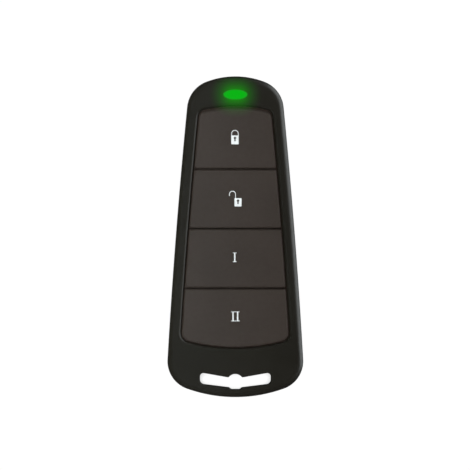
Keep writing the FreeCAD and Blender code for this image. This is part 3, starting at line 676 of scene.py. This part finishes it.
def build_chip(node, name, pins):
    """Chip: a moulded body with bent leads on its two long sides, each lead on a pad."""
    low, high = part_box(node)
    lead_reach = 1.0 * MM
    raised = 0.05 * MM
    thick = 0.15 * MM
    pad_length = 0.5 * MM
    lead_share = 0.33
    y_low = low.y + lead_reach
    y_high = high.y - lead_reach
    middle = (low.z + high.z) / 2 + raised
    settle(chip_body(name, low, high, y_low, y_high, middle), "chip", node)
    pitch = (high.x - low.x) / pins
    width = pitch * lead_share
    x = low.x + pitch / 2
    foot = low.z + PAD_THICKNESS + thick / 2
    leads = []
    for side, y_body, y_end in ((-1, y_low, low.y), (1, y_high, high.y)):
        first = chip_lead(name + "_lead", side, x, y_body, y_end, middle, foot, width, thick)
        leads.append(first)
        for index in range(1, pins):
            leads.append(copy_of(first, name + "_lead", (pitch * index, 0, 0)))
        near, far = sorted((y_end, y_end - side * pad_length))
        for index in range(pins):
            x_pin = x + pitch * index
            add_pad(x_pin - width / 2, x_pin + width / 2, near, far, low.z)
    settle(joined(name + "_leads", leads), "contact_metal")


def build_crystal():
    """Metal lid on a ceramic tray, with a sunken middle where the lid was pressed."""
    low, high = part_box("crystal")
    step = low.z + 0.45 * MM
    overlap = 0.02 * MM
    edge = 0.18 * MM
    rim = 0.22 * MM
    slope = 0.10 * MM
    sunk = 0.08 * MM
    pad = 1.3 * MM
    tray = block("crystal_tray", (low.x, low.y, low.z + PAD_THICKNESS), (high.x, high.y, step))
    soften(tray, 0.10 * MM, 3)
    settle(tray, "chip_part", "crystal")
    lid = block("crystal_lid", (low.x + edge, low.y + edge, step - overlap),
                (high.x - edge, high.y - edge, high.z))
    draw_in(lid, top_face(lid), rim, 0)
    draw_in(lid, widest_top_face(lid), slope, -sunk)
    soften(lid, 0.06 * MM, 3)
    settle(lid, "crystal_can")
    for x_low, x_high in ((low.x, low.x + pad), (high.x - pad, high.x)):
        for y_low, y_high in ((low.y, low.y + pad), (high.y - pad, high.y)):
            add_pad(x_low, x_high, y_low, y_high, low.z)


def build_light_source():
    """Light chip: white base with plated ends, and a clear lens with leaning sides."""
    low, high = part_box("status_led")
    base_z = low.z + PAD_THICKNESS
    step = low.z + 0.35 * MM
    overlap = 0.02 * MM
    end_inset = 0.05 * MM
    lens_inset = 0.45 * MM
    lens_side = 0.08 * MM
    lens_step = 0.1 * MM
    lens_lean = 0.16 * MM
    cap = 0.42 * MM
    wrap = 0.02 * MM
    wrap_top = 0.03 * MM
    base = block("led_base", (low.x + end_inset, low.y, base_z), (high.x - end_inset, high.y, step))
    soften(base, 0.04 * MM)
    settle(base, "plunger_plastic", "status_led")
    lens = block("led_lens", (low.x + lens_inset, low.y + lens_side, step - overlap),
                 (high.x - lens_inset, high.y - lens_side, step + lens_step))
    draw_in(lens, top_face(lens), lens_lean, high.z - step - lens_step)
    soften(lens, 0.08 * MM, 3)
    settle(lens, "led")
    ends = []
    for x_low, x_high in ((low.x, low.x + cap), (high.x - cap, high.x)):
        end = block("led_end", (x_low, low.y - wrap, base_z), (x_high, high.y + wrap, step + wrap_top))
        soften(end, 0.03 * MM)
        ends.append(end)
        add_pad(x_low, x_high, low.y, high.y, low.z)
    settle(joined("led_ends", ends), "contact_metal")


def build_chip_parts():
    """Row of small ceramic parts with plated ends, every second one a black-topped resistor."""
    low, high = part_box("chip_parts")
    width = 0.8 * MM
    count = 6
    cap = 0.32 * MM
    end_inset = 0.05 * MM
    side_inset = 0.03 * MM
    lift = 0.02 * MM
    film_side = 0.06 * MM
    film_depth = 0.05 * MM
    film_sunk = 0.01 * MM
    pitch = (high.y - low.y - width) / (count - 1)
    first = low.y
    base = low.z + PAD_THICKNESS
    body = block("part_body", (low.x + end_inset, first + side_inset, base + lift),
                 (high.x - end_inset, first + width - side_inset, high.z - side_inset))
    soften(body, 0.05 * MM)
    end = block("part_end", (low.x, first, base), (low.x + cap, first + width, high.z))
    soften(end, 0.06 * MM, 3)
    ends = [end, copy_of(end, "part_end", (high.x - low.x - cap, 0, 0))]
    film = block("part_film", (low.x + cap, first + film_side, high.z - film_depth),
                 (high.x - cap, first + width - film_side, high.z - film_sunk))
    soften(film, 0.01 * MM)
    bodies = [body]
    films = [film]
    for index in range(1, count):
        shift = (0, pitch * index, 0)
        bodies.append(copy_of(body, "part_body", shift))
        ends.append(copy_of(ends[0], "part_end", shift))
        ends.append(copy_of(ends[1], "part_end", shift))
        if index % 2 == 0:
            films.append(copy_of(film, "part_film", shift))
    for index in range(count):
        y = first + pitch * index
        add_pad(low.x, low.x + cap, y, y + width, low.z)
        add_pad(high.x - cap, high.x, y, y + width, low.z)
    settle(joined("part_bodies", bodies), "chip_part", "chip_parts")
    settle(joined("part_ends", ends), "contact_metal")
    settle(joined("part_films", films), "chip")


def build_battery_strap():
    """Sprung metal strap under the cell, bent up both sides to feet on the board's underside."""
    low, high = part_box("battery_clip")
    thick = 0.3 * MM
    half = thick / 2
    foot = 1.5 * MM
    bend = 0.35 * MM
    bend_start = bend * 0.3
    y = (low.y + high.y) / 2
    low_z = low.z + half
    top_z = high.z - half
    wall_x = high.x - foot - half
    right = [(wall_x - bend, low_z), (wall_x - bend_start, low_z + bend_start), (wall_x, low_z + bend),
             (wall_x, top_z - bend), (wall_x + bend_start, top_z - bend_start), (wall_x + bend, top_z),
             (high.x, top_z)]
    points = [Vector((-x, y, z)) for x, z in reversed(right)] + [Vector((x, y, z)) for x, z in right]
    strap = bent_strip("battery_strap", points, high.y - low.y, thick)
    soften(strap, 0.05 * MM)
    settle(strap, "contact_metal", "battery_clip")


def snap_dome():
    """Thin steel dome with a flat rim and crown, over the place of the lock key's dome."""
    low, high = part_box("lock_dome")
    thick = 0.08 * MM
    rim = 0.12 * MM
    crown = 0.35 * MM
    steps = 8
    radius = (high.x - low.x) / 2
    rise = high.z - low.z - thick
    foot = radius - rim
    curve = (foot ** 2 + rise ** 2) / (2 * rise)
    centre = ((low.x + high.x) / 2, (low.y + high.y) / 2, low.z)
    choose_nothing()
    bpy.ops.mesh.primitive_circle_add(vertices=64, radius=radius, fill_type="NGON", location=centre)
    dome = bpy.context.object
    fix_in_place()
    draw_in(dome, top_face(dome), rim, 0)
    level = curve - rise
    for step in range(1, steps + 1):
        reach = foot + (crown - foot) * step / steps
        height = math.sqrt(curve ** 2 - reach ** 2)
        draw_in(dome, widest_top_face(dome), (foot - crown) / steps, height - level)
        level = height
    wall = dome.modifiers.new("thickness", "SOLIDIFY")
    wall.thickness = thick
    wall.offset = 1
    apply_last(dome)
    soften(dome, 0.01 * MM, 1)
    return dome


def build_snap_domes():
    """The domes under the plungers, one for each key."""
    first = snap_dome()
    first_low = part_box("lock_dome")[0]
    for mark in ("lock", "unlock", "one", "two"):
        low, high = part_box(mark + "_dome")
        dome = copy_of(first, mark + "_snap", (0, low.y - first_low.y, 0))
        settle(dome, "dome_steel", mark + "_dome")
        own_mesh(dome)
    bpy.data.objects.remove(first)


def build_board_pieces():
    """Everything on the board that has a finer shape than its plain node, and the pads."""
    build_chip("controller_chip", "controller", 4)
    build_chip("radio_chip", "radio", 3)
    build_crystal()
    build_light_source()
    build_chip_parts()
    build_battery_strap()
    build_snap_domes()
    build_pads()


# Camera, floor and light

def put_camera():
    """Long lens straight above the fob, framed as the photograph is."""
    bpy.ops.object.camera_add(location=(FRAME_SHIFT_X, FRAME_SHIFT_Y, CAMERA_HEIGHT), rotation=(0, 0, 0))
    camera = bpy.context.object
    camera.name = "camera"
    camera.data.sensor_width = SENSOR
    camera.data.lens = SENSOR * (CAMERA_HEIGHT - OUTLINE_HEIGHT) / FRAME_WIDTH
    camera.data.clip_start = CAMERA_NEAR
    camera.data.clip_end = CAMERA_FAR
    bpy.context.scene.camera = camera


def lay_floor():
    """Pale, evenly lit floor: it reads white, with a faint shade only where the fob meets it."""
    bpy.ops.mesh.primitive_plane_add(size=FLOOR_SIZE, location=(0, 0, 0))
    floor = bpy.context.object
    floor.name = "floor"
    material = bpy.data.materials.new("pale_floor")
    material.use_nodes = True
    tree = material.node_tree
    tree.nodes.clear()
    contact = tree.nodes.new("ShaderNodeAmbientOcclusion")
    contact.samples = 8
    contact.inputs["Distance"].default_value = CONTACT_REACH
    level = tree.nodes.new("ShaderNodeMapRange")
    level.inputs["From Min"].default_value = 0.0
    level.inputs["From Max"].default_value = OPEN_SHARE
    level.inputs["To Min"].default_value = CONTACT_LIGHT
    level.inputs["To Max"].default_value = OPEN_LIGHT
    glow = tree.nodes.new("ShaderNodeEmission")
    out = tree.nodes.new("ShaderNodeOutputMaterial")
    tree.links.new(contact.outputs["AO"], level.inputs["Value"])
    tree.links.new(level.outputs["Result"], glow.inputs["Strength"])
    tree.links.new(glow.outputs["Emission"], out.inputs["Surface"])
    floor.data.materials.append(material)
    floor.visible_glossy = False
    floor.visible_shadow = False


def light_the_air(seen, felt):
    """Even white light from all round: one strength behind the floor's far edge, another on the fob."""
    world = bpy.data.worlds.new("studio")
    bpy.context.scene.world = world
    world.use_nodes = True
    tree = world.node_tree
    tree.nodes.clear()
    ray = tree.nodes.new("ShaderNodeLightPath")
    mix = tree.nodes.new("ShaderNodeMixShader")
    out = tree.nodes.new("ShaderNodeOutputWorld")
    tree.links.new(ray.outputs["Is Camera Ray"], mix.inputs["Fac"])
    for strength, socket in ((felt, mix.inputs[1]), (seen, mix.inputs[2])):
        air = tree.nodes.new("ShaderNodeBackground")
        air.inputs["Color"].default_value = (1, 1, 1, 1)
        air.inputs["Strength"].default_value = strength
        tree.links.new(air.outputs["Background"], socket)
    tree.links.new(mix.outputs["Shader"], out.inputs["Surface"])


def hang_light(name, place, aim, size, power, colour, gloss=True, fill=True):
    """Soft rectangular light at a place, turned towards aim, for highlights, for fill or for both."""
    bpy.ops.object.light_add(type="AREA", location=place)
    light = bpy.context.object
    light.name = name
    light.data.shape = "RECTANGLE"
    light.data.size, light.data.size_y = size
    light.data.energy = power
    light.data.color = colour
    light.rotation_euler = (Vector(place) - Vector(aim)).to_track_quat("Z", "Y").to_euler()
    light.visible_camera = False
    light.visible_glossy = gloss
    light.visible_diffuse = fill


def light_the_studio():
    """Light from above into the gaps, a weak fill, a strip low over the left side, and a panel whose
    reflection runs down the right rim."""
    warm = (1.0, 0.97, 0.93)
    cool = (0.804, 0.933, 1.0)
    pale_blue = (0.93, 0.985, 1.0)
    middle = (0, 0, 0)
    left = (-0.026, 0, 0)
    light_the_air(seen=1.0, felt=0.06)
    hang_light("top_light", place=(0.0, 0.03, 1.20), aim=middle, size=(0.25, 0.25), power=7.0,
               colour=warm, gloss=False)
    hang_light("fill_light", place=(0.45, -0.45, 0.90), aim=middle, size=(0.4, 0.4), power=0.6,
               colour=warm, gloss=False)
    hang_light("low_strip", place=(-0.026, 0.0, 0.055), aim=left, size=(0.02, 0.36), power=0.119,
               colour=cool, gloss=False)
    hang_light("right_panel", place=(0.42, 0.15, 0.025), aim=middle, size=(0.70, 0.60), power=3.45,
               colour=pale_blue, fill=False)


finishes = mix_finishes()
finish_the_nodes()
build_board_pieces()
put_camera()
lay_floor()
light_the_studio()
bpy.context.scene.view_settings.view_transform = "Standard"
